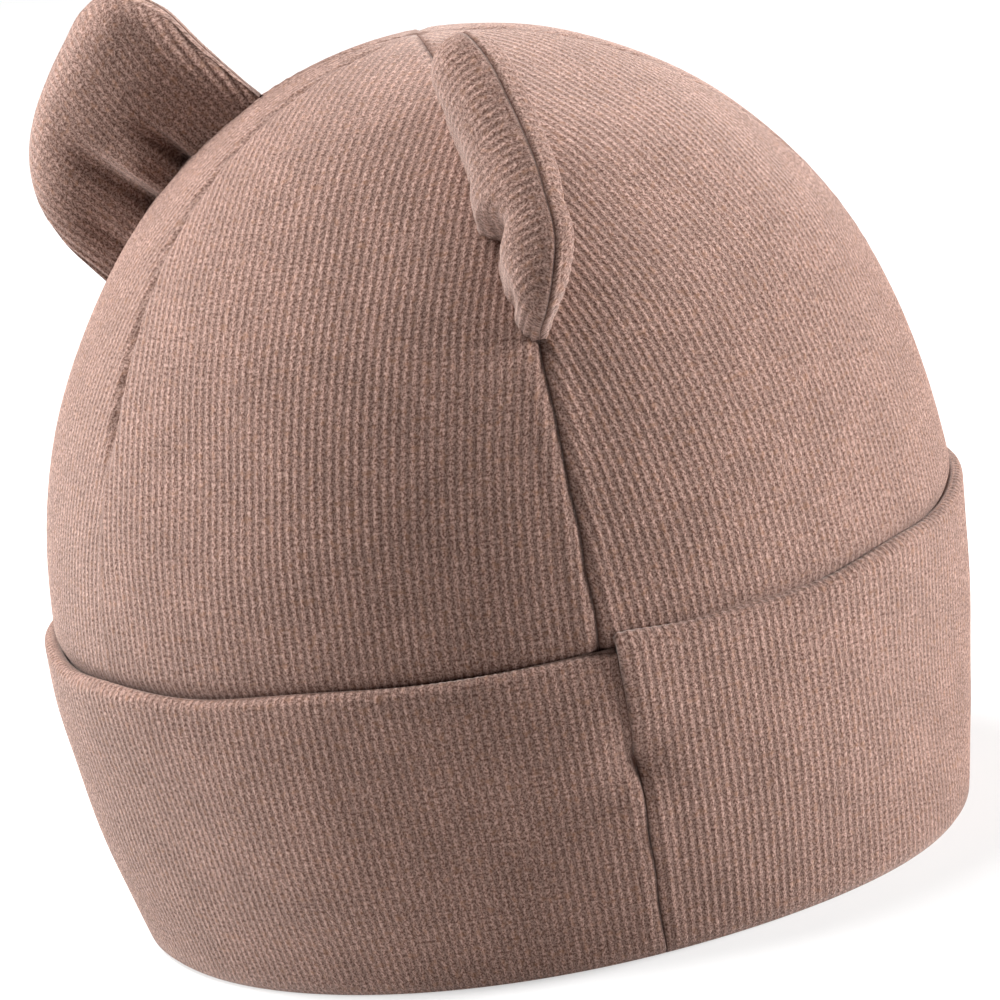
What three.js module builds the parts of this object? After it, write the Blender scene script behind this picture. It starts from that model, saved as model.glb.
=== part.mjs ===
// A baby's knitted hat with a domed crown, a turned-up cuff and two round padded ears.
// Lengths are in millimetres and angles in degrees. The hat stands on its folded rim at z = 0.
// Azimuth 0 is the front, towards -Y, and grows towards +X, so the front lies midway between the ears.
import * as THREE from "three";

// Cuff: a band turned up outside the crown, with a fold at the rim and a soft roll at its top edge.
const cuffRadius = 76; // outer radius at the top edge
const cuffTaper = 8; // how much less the radius is just above the fold
const rimRadius = cuffRadius - cuffTaper;
const cuffHeight = 51.8;
const cuffBulge = 1.7; // how far the band bellies out between its edges
const cuffWall = 3.2;
const foldHeight = 5; // the solid part of the fold, on which the crown's wall stands
const foldRound = 1; // rounding of the fold's two bottom edges
const cuffSlackLow = 0.5; // room between crown and cuff at the fold
const cuffSlackTop = 0.6; // and at the cuff's top edge
const hemStep = 1.6; // at the right seam the back panel's top edge lies this much higher
const hemStepReach = 24;

// Crown: two panels of doubled rib knit, with one dart in the front panel and two in the back panel.
const crownInset = 1.4; // how much narrower the crown is than the cuff's top edge
const crownRadius = cuffRadius - crownInset; // at its widest
const crownHeight = 138;
const widestHeight = 43.4;
const crownWall = 2.4;
const overhang = 7; // above the cuff's edge the crown swells to its full width within this height
const sideFullness = 1.92; // exponents of the dome's curve: 2 is an ellipse, more is fuller
const topFullness = 2.27;
const poleRadius = 0.4; // the panels end this near the axis
const crownLean = 3; // how far the top has sunk to one side
const crownLeanAzimuth = 120;

// Seams
const crownSeamRightAzimuth = 56;
const crownSeamLeftAzimuth = -56;
const cuffSeamRightAzimuth = 58.3; // the cuff has slid round a little against the crown
const cuffSeamLeftAzimuth = -56;
const seamGap = 0.3;
const seamValleyDepth = 0.8;
const seamValleyWidth = 1.8;
const frontDartAzimuths = [-20];
const backDartAzimuths = [136, 220];
const dartDepth = 0.7;
const dartWidth = 1.3;
const dartFoot = 88; // height at which the darts have run out
const dartRunOut = 14.4; // above that height the darts deepen over this length
const poleFade = 19; // the seams and darts flatten within this distance of the axis

// Tacks: a few stitches hold the cuff to the crown at each side seam and pull a dimple.
const tackDrop = 19; // below the cuff's top edge
const tackDepth = 1.8;
const tackReach = 5;

// Ears: two faces sewn together round the edge, softly padded and set upright in the side seams.
const earTopRadius = 0.362 * crownRadius; // distance from the axis of the ear's upper end
const earLowRadiusRight = 0.834 * crownRadius; // and of its lower end
const earLowRadiusLeft = 0.777 * crownRadius;
const earHeightRight = 21;
const earHeightLeft = 31.5;
const earLeanTop = 0.6; // how far the rim bends towards the back at the ear's upper end
const earLeanLow = 9.2; // and at its lower end
const earPuff = 5.8; // half of the greatest thickness
const earPuffReach = 9; // distance from the rim at which it is reached
const earFullness = 2.5; // exponent of the rounding towards the rim: 2 is an ellipse, more is fuller
const earBasePuff = 3.4; // half of the thickness where it is sewn in
const earWall = 2.2;
const earSeat = 0.3; // clearance over the crown
const pleatDepth = 1.6;
const pleatWidth = 1.7;

// The ear's outline from its upper end to its lower end, as shares of its base length and of its height.
const earOutline = [
  { along: 0.0, out: 0.0 },
  { along: 0.0, out: 0.36 },
  { along: -0.01, out: 0.68 },
  { along: 0.07, out: 0.92 },
  { along: 0.22, out: 0.98 },
  { along: 0.38, out: 0.95 },
  { along: 0.54, out: 0.905 },
  { along: 0.7, out: 0.835 },
  { along: 0.85, out: 0.715 },
  { along: 0.95, out: 0.53 },
  { along: 0.995, out: 0.3 },
  { along: 1.0, out: 0.12 },
  { along: 1.0, out: 0.0 },
];

// Gathers where the ear is sewn in: place as a share of the base length, length as a share of the ear's height.
const pleats = [
  { along: 0.37, length: 0.32 },
  { along: 0.52, length: 0.46 },
];

// Mesh density
const azimuthStep = 7.5;
const skirtRows = 5;
const swellRows = 4;
const domeRows = 15;
const cuffRows = 8;
const rollSteps = 3;
const seamOffsets = [0, 1.3, 2.8, 5]; // degrees from a seam at which columns are added
const dartOffsets = [-2.6, -1.2, 0, 1.2, 2.6];
const earStops = [0, 0.07, 0.14, 0.21, 0.29, 0.37, 0.445, 0.52, 0.6, 0.68, 0.76, 0.84, 0.92, 1]; // rim shares
const earLevels = [0, 0.16, 0.36, 0.56, 0.74, 0.87, 0.95, 0.985, 1]; // shares of the way from base to rim
const rimSamples = 60; // points of the rim from which an ear's thickness is measured

const knitColour = 0xb08f82;

const fullTurn = 360;
const radians = THREE.MathUtils.degToRad;
const degrees = THREE.MathUtils.radToDeg;
const smoothstep = THREE.MathUtils.smoothstep;
const lerp = THREE.MathUtils.lerp;

// A bump that is 1 at distance 0 and fades over the given width.
const bump = (distance, width) => Math.exp(-((distance / width) ** 2));

// The signed difference between two azimuths, up to half a turn either way.
const turn = (from, to) => THREE.MathUtils.euclideanModulo(to - from + fullTurn / 2, fullTurn) - fullTurn / 2;

// The point at an azimuth, a distance from the axis and a height.
function atAzimuth(azimuth, radius, height) {
  const a = radians(azimuth);
  return new THREE.Vector3(radius * Math.sin(a), -radius * Math.cos(a), height);
}

// The same on the crown, whose upper part leans.
function onCrown(azimuth, radius, height) {
  const lean = crownLean * smoothstep(height, cuffHeight, crownHeight);
  return atAzimuth(azimuth, radius, height).add(atAzimuth(crownLeanAzimuth, lean, 0));
}

// A closed body between two grids of points with the same rows and columns. Rows run away from the rim and
// columns towards growing azimuth, and the outer grid faces out. Points that coincide are merged.
function solidBetween(outer, inner) {
  const points = [];
  const index = new Map();
  const faces = [];
  const vertex = (p) => {
    const key = [p.x, p.y, p.z].map((c) => Math.round(c * 1000)).join();
    if (!index.has(key)) {
      index.set(key, points.length / 3);
      points.push(p.x, p.y, p.z);
    }
    return index.get(key);
  };
  const triangle = (p, q, r) => {
    const [a, b, c] = [p, q, r].map(vertex);
    if (a !== b && b !== c && c !== a) faces.push(a, b, c);
  };
  const quad = (p, q, r, s) => {
    triangle(p, q, r);
    triangle(p, r, s);
  };
  const rows = outer.length - 1;
  const columns = outer[0].length - 1;
  for (let i = 0; i < rows; i += 1) {
    for (let j = 0; j < columns; j += 1) {
      quad(outer[i][j], outer[i][j + 1], outer[i + 1][j + 1], outer[i + 1][j]);
      quad(inner[i][j], inner[i + 1][j], inner[i + 1][j + 1], inner[i][j + 1]);
    }
    quad(outer[i][0], outer[i + 1][0], inner[i + 1][0], inner[i][0]);
    quad(outer[i][columns], inner[i][columns], inner[i + 1][columns], outer[i + 1][columns]);
  }
  for (let j = 0; j < columns; j += 1) {
    quad(outer[0][j], inner[0][j], inner[0][j + 1], outer[0][j + 1]);
    quad(outer[rows][j], outer[rows][j + 1], inner[rows][j + 1], inner[rows][j]);
  }
  const geometry = new THREE.BufferGeometry();
  geometry.setAttribute("position", new THREE.Float32BufferAttribute(points, 3));
  geometry.setIndex(faces);
  geometry.computeVertexNormals();
  return geometry;
}

// Columns between two seams: evenly spaced, and closer by the seams and by the darts.
function columnsBetween(start, end, darts) {
  const near = seamOffsets.flatMap((d) => [start + d, end - d]);
  near.push(...darts.flatMap((dart) => dartOffsets.map((d) => dart + d)));
  const gap = azimuthStep / 2;
  const even = [];
  const steps = Math.round((end - start) / azimuthStep);
  for (let k = 1; k < steps; k += 1) {
    const a = lerp(start, end, k / steps);
    if (near.every((n) => Math.abs(n - a) > gap)) even.push(a);
  }
  return [...near, ...even].sort((a, b) => a - b);
}

// A column's azimuth at a radius, kept clear of the seams' planes by half the seam's gap.
function clearOfSeams(azimuth, start, end, radius) {
  const margin = degrees(Math.asin(Math.min(1, seamGap / 2 / radius)));
  return Math.min(Math.max(azimuth, start + margin), end - margin);
}

// How far the surface dips beside the nearer of two seams.
function seamDip(azimuth, radius, seams) {
  const dips = seams.map((seam) => bump(radians(Math.abs(turn(seam, azimuth))) * radius, seamValleyWidth));
  return seamValleyDepth * Math.max(...dips);
}

// Cuff

function cuffOuterRadius(height) {
  const t = THREE.MathUtils.clamp(height / cuffHeight, 0, 1);
  return lerp(rimRadius, cuffRadius, t) + cuffBulge * Math.sin(Math.PI * t);
}

// The radius of the crown's outer face where it stands inside the cuff.
function skirtRadius(height) {
  const slack = lerp(cuffSlackLow, cuffSlackTop, height / cuffHeight);
  return cuffOuterRadius(height) - cuffWall - slack;
}

function cuffDip(azimuth, height, radius) {
  const seams = [cuffSeamRightAzimuth, cuffSeamLeftAzimuth];
  const tackHeight = cuffHeight - tackDrop;
  const pulls = seams.map((seam) => {
    const across = radians(turn(seam, azimuth)) * radius;
    return bump(Math.hypot(across, height - tackHeight), tackReach);
  });
  const above = smoothstep(height, foldHeight, 2 * foldHeight);
  return above * (seamDip(azimuth, radius, seams) + tackDepth * Math.max(...pulls));
}

// The cuff's section at an azimuth, as pairs of points on its outer and inner faces.
function cuffSection(azimuth, top) {
  const wallStart = skirtRadius(foldHeight) - crownWall;
  const slotStart = skirtRadius(foldHeight);
  const outside = (z) => cuffOuterRadius(z) - cuffDip(azimuth, z, cuffRadius);
  const inside = (z) => cuffOuterRadius(z) - cuffWall;
  const middle = (wallStart + slotStart) / 2;
  const section = [
    { outer: [wallStart + foldRound, 0], inner: [wallStart, foldHeight] },
    { outer: [middle + foldRound / 2, 0], inner: [middle, foldHeight] },
    { outer: [rimRadius - foldRound, 0], inner: [slotStart, foldHeight] },
    { outer: [rimRadius - foldRound / 4, foldRound], inner: [inside(foldHeight), foldHeight] },
  ];
  const roll = cuffWall / 2;
  const straight = top - roll;
  for (let k = 1; k <= cuffRows; k += 1) {
    const zOuter = lerp(foldRound, straight, k / cuffRows);
    const zInner = lerp(foldHeight, straight, k / cuffRows);
    section.push({ outer: [outside(zOuter), zOuter], inner: [inside(zInner), zInner] });
  }
  const outerEdge = outside(straight);
  const innerEdge = inside(straight);
  const centre = (outerEdge + innerEdge) / 2;
  const half = (outerEdge - innerEdge) / 2;
  for (let k = 1; k <= rollSteps; k += 1) {
    const a = (Math.PI / 2) * (k / rollSteps);
    const z = straight + roll * Math.sin(a);
    section.push({
      outer: [centre + half * Math.cos(a), z],
      inner: [centre - half * Math.cos(a), z],
    });
  }
  return section;
}

function cuffPanel(start, end, isBack) {
  const columns = columnsBetween(start, end, []);
  const sections = columns.map((azimuth) => {
    const fromRight = radians(Math.abs(turn(cuffSeamRightAzimuth, azimuth))) * cuffRadius;
    const lift = isBack ? hemStep * bump(fromRight, hemStepReach) : 0;
    return cuffSection(azimuth, cuffHeight + lift);
  });
  const grid = (side) =>
    sections[0].map((_, i) =>
      columns.map((azimuth, j) => {
        const [radius, height] = sections[j][i][side];
        return atAzimuth(clearOfSeams(azimuth, start, end, radius), radius, height);
      }),
    );
  return solidBetween(grid("outer"), grid("inner"));
}

// Crown

// The dome's half profile, from its widest level at 0 to the apex at a quarter turn.
function domePoint(angle) {
  const radius = crownRadius * Math.max(0, Math.cos(angle)) ** (2 / sideFullness);
  const rise = (crownHeight - widestHeight) * Math.sin(angle) ** (2 / topFullness);
  return new THREE.Vector2(radius, widestHeight + rise);
}

function domeRadiusAt(height) {
  const share = THREE.MathUtils.clamp((height - widestHeight) / (crownHeight - widestHeight), 0, 1);
  return crownRadius * (1 - share ** topFullness) ** (1 / sideFullness);
}

function domeHeightAt(radius) {
  const share = (1 - (radius / crownRadius) ** sideFullness) ** (1 / topFullness);
  return lerp(widestHeight, crownHeight, share);
}

// The crown's outer radius at a height: inside the cuff at first, then swelling out to the dome.
function crownOuterRadius(height) {
  const swell = smoothstep(height, cuffHeight - cuffWall / 2, cuffHeight + overhang);
  return lerp(skirtRadius(Math.min(height, cuffHeight)), domeRadiusAt(height), swell);
}

// Points up the crown's outer profile, from its lower edge to the pole.
function crownProfile() {
  const low = foldHeight + seamGap;
  const lip = cuffHeight - cuffWall / 2;
  const join = cuffHeight + overhang;
  const profile = [];
  const rise = (from, to, rows) => {
    for (let k = 0; k < rows; k += 1) {
      const height = lerp(from, to, k / rows);
      profile.push(new THREE.Vector2(crownOuterRadius(height), height));
    }
  };
  rise(low, lip, skirtRows);
  rise(lip, join, swellRows);
  const share = (join - widestHeight) / (crownHeight - widestHeight);
  const first = Math.asin(share ** (topFullness / 2));
  const last = Math.acos((poleRadius / crownRadius) ** (sideFullness / 2));
  for (let k = 0; k <= domeRows; k += 1) {
    profile.push(domePoint(lerp(first, last, k / domeRows)));
  }
  return profile;
}

// The profile moved in by the wall's thickness, square to itself.
function innerProfile(profile) {
  return profile.map((p, i) => {
    const before = profile[Math.max(0, i - 1)];
    const after = profile[Math.min(profile.length - 1, i + 1)];
    const along = after.clone().sub(before).normalize();
    if (i === 0) return new THREE.Vector2(p.x - crownWall, p.y);
    const radius = Math.max(poleRadius, p.x - crownWall * along.y);
    return new THREE.Vector2(radius, p.y + crownWall * along.x);
  });
}

function dartDip(azimuth, height, radius, darts) {
  const dips = darts.map((dart) => bump(radians(Math.abs(turn(dart, azimuth))) * radius, dartWidth));
  return dartDepth * Math.max(...dips) * smoothstep(height, dartFoot, dartFoot + dartRunOut);
}

function crownPanel(start, end, darts) {
  const columns = columnsBetween(start, end, darts);
  const profile = crownProfile();
  const inner = innerProfile(profile);
  const fade = (radius) => smoothstep(radius, poleRadius, poleFade);
  const place = (azimuth, p, dip) => {
    const radius = p.x - dip;
    return onCrown(clearOfSeams(azimuth, start, end, radius), radius, p.y);
  };
  const outerGrid = profile.map((p, i) => {
    const upright = (p.x - inner[i].x) / crownWall;
    return columns.map((azimuth) => {
      const seam = seamDip(azimuth, p.x, [crownSeamRightAzimuth, crownSeamLeftAzimuth]);
      const dip = (seam + dartDip(azimuth, p.y, p.x, darts)) * fade(p.x);
      const above = smoothstep(p.y, cuffHeight - cuffWall, cuffHeight);
      const point = place(azimuth, p, dip * above * upright);
      point.z -= dip * above * (1 - upright);
      return point;
    });
  });
  const innerGrid = inner.map((p) => columns.map((azimuth) => place(azimuth, p, 0)));
  return solidBetween(outerGrid, innerGrid);
}

// Ears

// The ear stands in the plane of its seam. Its own axes: along the base towards the rim of the hat, out from
// the crown, and across, towards growing azimuth.
function earAxes(azimuth, lowRadius) {
  const upper = onCrown(azimuth, earTopRadius, domeHeightAt(earTopRadius));
  const lower = onCrown(azimuth, lowRadius, domeHeightAt(lowRadius));
  const along = lower.clone().sub(upper);
  const length = along.length();
  along.normalize();
  const sideways = atAzimuth(azimuth + 90, 1, 0);
  const out = new THREE.Vector3().crossVectors(along, sideways).normalize();
  const across = new THREE.Vector3().crossVectors(out, along);
  return { upper, along, out, across, length };
}

// The crown's surface under the ear, in the ear's own axes.
function earBase(axes, azimuth, lowRadius, share) {
  const radius = lerp(earTopRadius, lowRadius, share);
  const offset = onCrown(azimuth, radius, domeHeightAt(radius)).sub(axes.upper);
  const [along, out, across] = [axes.along, axes.out, axes.across].map((axis) => offset.dot(axis));
  return new THREE.Vector3(along, out + earSeat, across);
}

function earOutlineCurve(axes, height) {
  const point = (row) => new THREE.Vector3(row.along * axes.length, row.out * height + earSeat, 0);
  return new THREE.CatmullRomCurve3(earOutline.map(point), false, "centripetal");
}

// Half of the ear's thickness at a point in its plane: none at the rim, full inside, pinched at the base.
function earHalfThickness(p, base, rim, height, axes) {
  const toRim = Math.min(...rim.map((q) => Math.hypot(p.x - q.x, p.y - q.y)));
  const t = Math.min(1, toRim / earPuffReach);
  const above = Math.max(0, p.y - base.y);
  const pinch = smoothstep(above, 0, height / 2);
  const full = lerp(earBasePuff, earPuff, pinch) * (1 - (1 - t) ** earFullness) ** (1 / earFullness);
  const folds = pleats.map((pleat) => {
    const across = p.x - pleat.along * axes.length;
    return bump(across, pleatWidth) * (1 - smoothstep(above, 0, pleat.length * height));
  });
  return Math.max(full - pleatDepth * Math.max(...folds) * Math.min(1, full / earBasePuff), 0);
}

// One face of an ear. side is the side of the seam that it lies on, and towardsBack the way that the rim
// bends, each 1 towards growing azimuth and -1 the other way.
function earFace(azimuth, lowRadius, height, side, towardsBack) {
  const axes = earAxes(azimuth, lowRadius);
  const curve = earOutlineCurve(axes, height);
  const rim = curve.getSpacedPoints(rimSamples);
  const halfGap = seamGap / 2;
  const grid = (isOuter) =>
    earLevels.map((level) =>
      earStops.map((stop) => {
        const base = earBase(axes, azimuth, lowRadius, stop);
        const edge = curve.getPointAt(stop);
        const p = new THREE.Vector2(lerp(base.x, edge.x, level), lerp(base.y, edge.y, level));
        const thick = earHalfThickness(p, base, rim, height, axes);
        const offset = isOuter ? thick : Math.max(0, thick - earWall);
        const lean = lerp(earLeanTop, earLeanLow, p.x / axes.length);
        const bend = towardsBack * lean * (Math.max(0, p.y) / height) ** 2;
        return axes.upper
          .clone()
          .addScaledVector(axes.along, p.x)
          .addScaledVector(axes.out, p.y)
          .addScaledVector(axes.across, base.z * (1 - level) + bend + side * (offset + halfGap));
      }),
    );
  return side > 0 ? solidBetween(grid(false), grid(true)) : solidBetween(grid(true), grid(false));
}

// Assembly

const knit = (name, geometry) => {
  const material = new THREE.MeshStandardMaterial({ color: knitColour, roughness: 0.95, metalness: 0 });
  const mesh = new THREE.Mesh(geometry, material);
  mesh.name = name;
  return mesh;
};

const crownFront = crownPanel(crownSeamLeftAzimuth, crownSeamRightAzimuth, frontDartAzimuths);
const crownBack = crownPanel(crownSeamRightAzimuth, crownSeamLeftAzimuth + fullTurn, backDartAzimuths);
const crown = new THREE.Group();
crown.add(knit("crown_front", crownFront), knit("crown_back", crownBack));

const cuffFront = cuffPanel(cuffSeamLeftAzimuth, cuffSeamRightAzimuth, false);
const cuffBack = cuffPanel(cuffSeamRightAzimuth, cuffSeamLeftAzimuth + fullTurn, true);
const cuff = new THREE.Group();
cuff.add(knit("cuff_front", cuffFront), knit("cuff_back", cuffBack));

const ears = new THREE.Group();
const earRight = (side) => earFace(crownSeamRightAzimuth, earLowRadiusRight, earHeightRight, side, 1);
const earLeft = (side) => earFace(crownSeamLeftAzimuth, earLowRadiusLeft, earHeightLeft, side, -1);
ears.add(knit("ear_right_front", earRight(-1)), knit("ear_right_back", earRight(1)));
ears.add(knit("ear_left_front", earLeft(1)), knit("ear_left_back", earLeft(-1)));

const hat = new THREE.Group();
hat.name = "hat";
hat.add(crown, cuff, ears);

export default hat;
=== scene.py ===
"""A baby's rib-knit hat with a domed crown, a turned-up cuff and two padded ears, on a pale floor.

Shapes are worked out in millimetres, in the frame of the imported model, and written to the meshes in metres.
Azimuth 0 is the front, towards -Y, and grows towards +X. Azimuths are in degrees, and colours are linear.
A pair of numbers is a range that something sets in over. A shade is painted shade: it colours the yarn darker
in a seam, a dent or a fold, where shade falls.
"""
import math
from functools import cache

import bpy
import numpy as np
from mathutils import Matrix, Vector


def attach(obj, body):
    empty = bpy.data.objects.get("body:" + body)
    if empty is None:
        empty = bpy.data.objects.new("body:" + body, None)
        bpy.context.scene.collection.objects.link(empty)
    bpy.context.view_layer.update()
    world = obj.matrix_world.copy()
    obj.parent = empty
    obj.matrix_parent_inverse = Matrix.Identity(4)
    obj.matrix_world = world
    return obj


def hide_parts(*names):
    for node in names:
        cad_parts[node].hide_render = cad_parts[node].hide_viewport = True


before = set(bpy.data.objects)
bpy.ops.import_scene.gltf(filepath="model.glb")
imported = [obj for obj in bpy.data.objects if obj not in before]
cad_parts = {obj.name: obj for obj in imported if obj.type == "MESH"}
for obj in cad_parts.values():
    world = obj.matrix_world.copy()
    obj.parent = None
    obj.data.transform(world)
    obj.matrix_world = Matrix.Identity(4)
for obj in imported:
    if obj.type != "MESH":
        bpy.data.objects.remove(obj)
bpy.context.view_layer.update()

MM = 0.001

# Cuff
CUFF_RADIUS = 76.0
RIM_RADIUS = 68.0
CUFF_HEIGHT = 51.8
CUFF_BULGE = 1.7
CUFF_WALL = 3.2
FOLD_HEIGHT = 5.0
FOLD_ROUND = 1.0
FOLD_EASE = 0.8  # share of its rounding that the fold covers before the wall starts
SLACK_LOW = 0.5  # between the cuff and the crown, at the fold
SLACK_TOP = 0.05  # the cuff's top edge rests against the crown
STRAYS = (  # where the cuff strays from round, in degrees and millimetres
    {"azimuth": 102, "spread": 26, "height": 0, "reach": 16, "by": 3.0},
    {"azimuth": 140, "spread": 24, "height": 19, "reach": 13, "by": -0.9},
    {"azimuth": 140, "spread": 30, "height": 54, "reach": 9, "by": 1.1},
    {"azimuth": 317, "spread": 30, "height": 3, "reach": 14, "by": 0.4},
    {"azimuth": 317, "spread": 30, "height": 42, "reach": 8, "by": 0.6},
)
INNER_STRAY = (38, 46)  # heights at which the cuff's inner face begins to stray with the outer one
HEM_STEP = 1.6  # how much higher the back panel's top edge stands at the right seam
HEM_STEP_REACH = 24.0
HEM_WAVE = 0.45  # how much the top edge rises and falls
HEM_WAVE_START = (4, 30)  # distances from the right seam
CUFF_RELIEF_START = (0.2, FOLD_HEIGHT)  # heights
CUFF_RIPPLE = 0.35
CUFF_RIPPLE_START = (4, 16)  # heights
ROLL_OUT = 0.15  # at the top edge the relief moves the cloth out by this share
ROLL_UP = 0.7  # and up by this one

# Lap of the cuff's back panel over the front one, above the tack at the right seam
LAP = 0.7
LAP_START = (-2, 2)  # heights above the tack
LAP_REACH = 9.0
LAP_STEP = 1.3  # how far the back panel's edge sinks towards the front one
LAP_STEP_WIDTH = 0.45
LAP_RISE_REACH = 12.0  # the back panel rises this far from the seam
LAP_SINK_REACH = 2.2  # and the front one sinks this far from it
# painted shadow: how much darker the front panel is coloured just beside the back panel's lapped edge
LAP_SHADE = 2.2
LAP_SHADE_OFFSET = 0.4
LAP_SHADE_WIDTH = 0.45
LAP_OVER = 0.4  # how far the back panel's edge passes the seam
LAP_OVER_REACH = 1.6

# Crown
CROWN_RADIUS = 74.6
CROWN_HEIGHT = 138.0
WIDEST_HEIGHT = 43.4
CROWN_WALL = 2.4
OVERHANG = 2.5  # height above the cuff at which the crown has swelled to its full width
SIDE_FULLNESS = 1.92
TOP_FULLNESS = 2.27
POLE_RADIUS = 0.4
POLE_FADE = 14.0  # the knit's relief fades out inside this radius
LEAN = 3.0
LEAN_AZIMUTH = 120.0
SIDE_SHIFT = 0.7  # the crown's lower half sits this far to one side of the cuff's centre
SIDE_SHIFT_AZIMUTH = 137.0
SIDE_SHIFT_START = (44, 54)  # heights
SIDE_SHIFT_END = (90, CROWN_HEIGHT)
FOOT_GAP = 0.3  # between the crown's lower edge and the fold that it stands on
CROWN_RELIEF_START = (CUFF_HEIGHT - CUFF_WALL, CUFF_HEIGHT + 2)
CROWN_RIPPLE = 0.4
CROWN_RIPPLE_START = (CUFF_HEIGHT, 75)
CALM_REACH = 25.0  # the ripples die out this close to a seam or dart
# painted shade: the crown's knit is coloured darker just above the cuff, where the cuff's edge shades it
CUFF_SHADE = 1.1  # on the crown, just above the cuff
CUFF_SHADE_REACH = 4.0

# Seams
CROWN_SEAM_RIGHT = 56.0
CROWN_SEAM_LEFT = -56.0
CUFF_SEAM_RIGHT = 58.3
CUFF_SEAM_LEFT = -56.0
CROWN_SEAMS = (CROWN_SEAM_RIGHT, CROWN_SEAM_LEFT)
CUFF_SEAMS = (CUFF_SEAM_RIGHT, CUFF_SEAM_LEFT)
SEAM_GAP = 0.05
SEAM_FADE = 0.35  # the ribs sink away this close to a seam
SEAM_WOBBLE = 0.14  # degrees that a seam strays from its straight line
CROWN_SEAM_VALLEY = 1.0
CUFF_SEAM_VALLEY = 0.5
SEAM_VALLEY_WIDTH = 0.5
SEAM_WELT = 0.2  # the ridge that the seam allowance raises beside a seam
SEAM_WELT_OFFSET = 2.3
CROWN_WELT_WIDTH = 1.1
CUFF_WELT_WIDTH = 1.2
# painted shade: how much darker the yarn is coloured in the crease along a seam, and over what width
CROWN_SEAM_SHADE = 2.4
CROWN_SEAM_SHADE_WIDTH = 0.32
CUFF_SEAM_SHADE = 1.6
CUFF_SEAM_SHADE_WIDTH = 0.3

# Darts
FRONT_DARTS = (-20.0,)
BACK_DARTS = (136.0, 220.0)
FRONT_DART_DRIFT = 6.0  # degrees that the front dart drifts towards the ear on its way down
DART_DEPTH = 0.95
DART_WIDTH = 0.7
DART_FOOT = 84.0
DART_START = (DART_FOOT, DART_FOOT + 8)
DART_LOW_SHARE = 1.5  # a dart's depth near its foot
DART_HIGH_SHARE = 0.9  # and higher up
DART_EASE = (98, 116)  # heights between the two
DART_STITCH = 2.0  # spacing of the stitches that pucker a dart
DART_PUCKER = 0.3
DART_FADE = 0.5
DART_WELT = 0.4 * SEAM_WELT
DART_WELT_OFFSET = 1.9
DART_WELT_WIDTH = 1.0
# painted shade: how much darker the yarn is coloured in a dart's crease, and over what width
DART_SHADE = 2.2
DART_SHADE_WIDTH = 0.4

# Tacks
TACK_DROP = 19.0  # below the cuff's top edge
TACK_DEPTH = 1.7
TACK_REACH = 4.2
NOTCH_DEPTH = 1.2  # the sharp dent at a tack's stitches
NOTCH_WIDTH = 0.84
NOTCH_HEIGHT = 2.4
# painted shade: how much darker the yarn is coloured in the tack's dent
NOTCH_SHADE = 2.4

# Ears
EAR_TOP_RADIUS = 0.362 * CROWN_RADIUS
EARS = (
    {
        "name": "ear_right",
        "seam": CROWN_SEAM_RIGHT,
        "low_radius": 0.834 * CROWN_RADIUS,
        "height": 21.0,
        "back": 1,  # the sign of its across axis that points backwards
        "shift": 0.06,  # its gathers sit this much lower, as a share of its base
        "seed": 3,  # its place in the waves and the yarn
    },
    {
        "name": "ear_left",
        "seam": CROWN_SEAM_LEFT,
        "low_radius": 0.777 * CROWN_RADIUS,
        "height": 31.5,
        "back": -1,
        "shift": 0.0,
        "seed": 1,
    },
)
EAR_LEAN_TOP = 0.6  # how far back the ear bends at its full height, at its upper end
EAR_LEAN_LOW = 9.2  # and at its lower one
EAR_PUFF = 5.8
EAR_PUFF_REACH = 9.0
EAR_FULLNESS = 2.5
EAR_BASE_PUFF = 3.4
EAR_WALL = 2.2
EAR_SEAT = 0.3
EAR_SINK = 1.2  # how far the ear's base reaches into the crown's knit
EAR_RIPPLE = 0.3
EAR_RIPPLE_REACH = 6.0
EAR_SEAM_GAP = 0.06
EAR_SEAM_WOBBLE = 0.1  # how far the seam round the ear's edge strays to each side
EAR_SEAM_NEAR = (0.5, 1)  # shares of the way from the base to the rim
# painted shade: how much darker the yarn is coloured in the seam round the ear's edge
EAR_SEAM_SHADE = 2.4
EAR_SEAM_SHADE_DEPTH = 0.3  # half thickness at which the seam's shade ends
EAR_LOBE = 0.28  # how far each face bulges past the seam round the ear's edge
EAR_LOBE_DEPTH = 1.3  # half thickness at which the bulge ends
EAR_LOBE_REACH = 3.0
EAR_LOBE_INSET = 0.7 * EAR_LOBE  # how far the seam is drawn in between the two bulges
EAR_END = 0.06  # share of the edge at each end that has no lobe
EAR_GATHER = 3.2  # how much deeper the ribs are beside the seam round the ear's edge
EAR_GATHER_OFFSET = 0.8
EAR_GATHER_WIDTH = 1.3
EAR_OUTLINE = (  # shares of the base length and of the height, from the upper end to the lower
    {"along": 0.0, "out": 0.0},
    {"along": 0.0, "out": 0.36},
    {"along": -0.01, "out": 0.68},
    {"along": 0.07, "out": 0.92},
    {"along": 0.22, "out": 0.98},
    {"along": 0.38, "out": 0.95},
    {"along": 0.54, "out": 0.905},
    {"along": 0.7, "out": 0.835},
    {"along": 0.85, "out": 0.715},
    {"along": 0.95, "out": 0.53},
    {"along": 0.995, "out": 0.3},
    {"along": 1.0, "out": 0.12},
    {"along": 1.0, "out": 0.0},
)
PLEATS = (  # gathers at the base: place and length are shares of the base and of the ear's height
    {"along": 0.39, "length": 0.36, "width": 1.8, "depth": 3.2, "slant": 0.0, "ridge": 0.05},
    {"along": 0.61, "length": 0.66, "width": 2.6, "depth": 3.0, "slant": 0.12, "ridge": 0.13},
    {"along": 0.82, "length": 0.3, "width": 1.8, "depth": 0.8, "slant": 0.1, "ridge": 0.1},
)
PLEAT_FULL = 0.2  # share of its length over which a gather has its full depth
PLEAT_NARROW = 0.7  # a gather's width at its foot, as a share
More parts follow.
